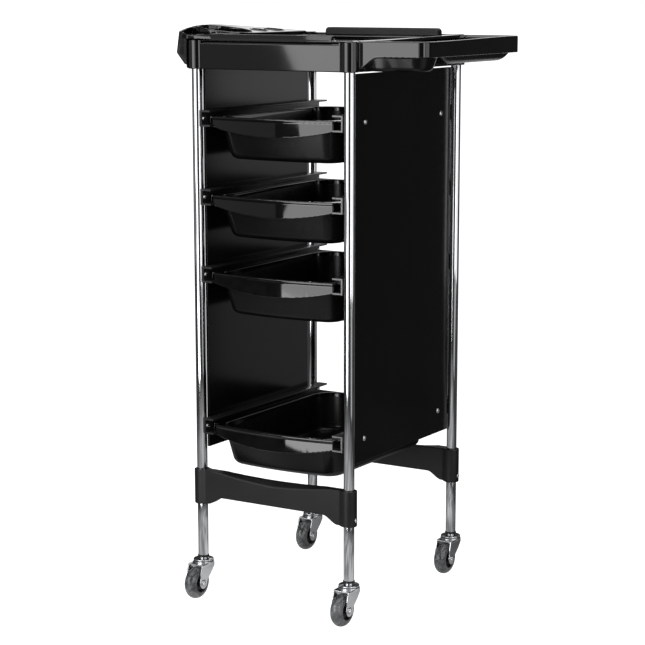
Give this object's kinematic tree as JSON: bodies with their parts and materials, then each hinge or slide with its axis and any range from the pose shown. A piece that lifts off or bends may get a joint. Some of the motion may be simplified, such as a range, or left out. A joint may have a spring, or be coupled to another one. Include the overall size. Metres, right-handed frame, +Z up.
{
  "type": "spa trolley cart",
  "caption": "Tall narrow rolling salon cart on chromed posts and swivel casters, with slide-out trays, side panels, a moulded top with a dryer ring and a cupped side shelf.",
  "frame": {"origin": "on the floor, at the middle of the object's overall footprint box, under the casters", "axes": "+X across the cart towards the side shelf, -Y towards the front where the trays pull out, +Z up"},
  "size_m": [0.492, 0.376, 0.8665],
  "materials": {
    "gloss_black": "glossy injection-moulded black ABS",
    "satin_black": "satin black moulded polypropylene",
    "panel_black": "semi-gloss black laminated sheet",
    "rail_dark": "extruded dark plastic channel",
    "chrome_tube": "bright chromed steel tube",
    "chrome_pressed": "chromed pressed steel",
    "screw_steel": "plated cross-head screw",
    "black_nylon": "black nylon",
    "clear_grey_pu": "translucent smoke-grey polyurethane"
  },
  "bodies": {
    "chassis": {"top_deck": "gloss_black", "tool_holder": "gloss_black", "rear_rail_bar": "satin_black", "post_front_left": "chrome_tube", "post_front_right": "chrome_tube", "post_back_left": "chrome_tube", "post_back_right": "chrome_tube", "leg_front_left": "chrome_tube", "leg_front_right": "chrome_tube", "leg_back_left": "chrome_tube", "leg_back_right": "chrome_tube", "bracket_front": "satin_black", "bracket_back": "satin_black", "side_panel_left": "panel_black", "side_panel_right": "panel_black", "rail_left_1": "rail_dark", "rail_left_2": "rail_dark", "rail_left_3": "rail_dark", "rail_left_4": "rail_dark", "rail_right_1": "rail_dark", "rail_right_2": "rail_dark", "rail_right_3": "rail_dark", "rail_right_4": "rail_dark", "rail_screws": "screw_steel", "panel_screws": "screw_steel", "bracket_screws": "screw_steel", "caster_bush_fl": "black_nylon", "caster_bush_fr": "black_nylon", "caster_bush_bl": "black_nylon", "caster_bush_br": "black_nylon", "caster_stem_fl": "chrome_pressed", "caster_stem_fr": "chrome_pressed", "caster_stem_bl": "chrome_pressed", "caster_stem_br": "chrome_pressed"},
    "tray_1_body": {"tray_1": "gloss_black"},
    "tray_2_body": {"tray_2": "gloss_black"},
    "tray_3_body": {"tray_3": "gloss_black"},
    "tray_4_body": {"tray_4": "gloss_black"},
    "swivel_fl": {"caster_fork_fl": "chrome_pressed", "axle_bolt_fl": "chrome_pressed"},
    "wheel_fl": {"wheel_hub_fl": "black_nylon", "tyre_fl": "clear_grey_pu"},
    "swivel_fr": {"caster_fork_fr": "chrome_pressed", "axle_bolt_fr": "chrome_pressed"},
    "wheel_fr": {"wheel_hub_fr": "black_nylon", "tyre_fr": "clear_grey_pu"},
    "swivel_bl": {"caster_fork_bl": "chrome_pressed", "axle_bolt_bl": "chrome_pressed"},
    "wheel_bl": {"wheel_hub_bl": "black_nylon", "tyre_bl": "clear_grey_pu"},
    "swivel_br": {"caster_fork_br": "chrome_pressed", "axle_bolt_br": "chrome_pressed"},
    "wheel_br": {"wheel_hub_br": "black_nylon", "tyre_br": "clear_grey_pu"}
  },
  "joints": [
    {"name": "tray_1_slide", "type": "slide", "parent": "chassis", "child": "tray_1_body", "axis": [0, -1, 0], "range_m": [0, 0.24]},
    {"name": "tray_2_slide", "type": "slide", "parent": "chassis", "child": "tray_2_body", "axis": [0, -1, 0], "range_m": [0, 0.24]},
    {"name": "tray_3_slide", "type": "slide", "parent": "chassis", "child": "tray_3_body", "axis": [0, -1, 0], "range_m": [0, 0.24]},
    {"name": "tray_4_slide", "type": "slide", "parent": "chassis", "child": "tray_4_body", "axis": [0, -1, 0], "range_m": [0, 0.24]},
    {"name": "caster_swivel_fl", "type": "hinge", "parent": "chassis", "child": "swivel_fl", "pos_m": [-0.126, -0.144, 0.055], "axis": [0, 0, 1], "continuous": true},
    {"name": "wheel_spin_fl", "type": "hinge", "parent": "swivel_fl", "child": "wheel_fl", "pos_m": [-0.126, -0.163, 0.025], "axis": [1, 0, 0], "continuous": true},
    {"name": "caster_swivel_fr", "type": "hinge", "parent": "chassis", "child": "swivel_fr", "pos_m": [0.136, -0.144, 0.055], "axis": [0, 0, 1], "continuous": true},
    {"name": "wheel_spin_fr", "type": "hinge", "parent": "swivel_fr", "child": "wheel_fr", "pos_m": [0.136, -0.163, 0.025], "axis": [1, 0, 0], "continuous": true},
    {"name": "caster_swivel_bl", "type": "hinge", "parent": "chassis", "child": "swivel_bl", "pos_m": [-0.126, 0.172, 0.055], "axis": [0, 0, 1], "continuous": true},
    {"name": "wheel_spin_bl", "type": "hinge", "parent": "swivel_bl", "child": "wheel_bl", "pos_m": [-0.126, 0.153, 0.025], "axis": [1, 0, 0], "continuous": true},
    {"name": "caster_swivel_br", "type": "hinge", "parent": "chassis", "child": "swivel_br", "pos_m": [0.136, 0.172, 0.055], "axis": [0, 0, 1], "continuous": true},
    {"name": "wheel_spin_br", "type": "hinge", "parent": "swivel_br", "child": "wheel_br", "pos_m": [0.136, 0.153, 0.025], "axis": [1, 0, 0], "continuous": true}
  ]
}
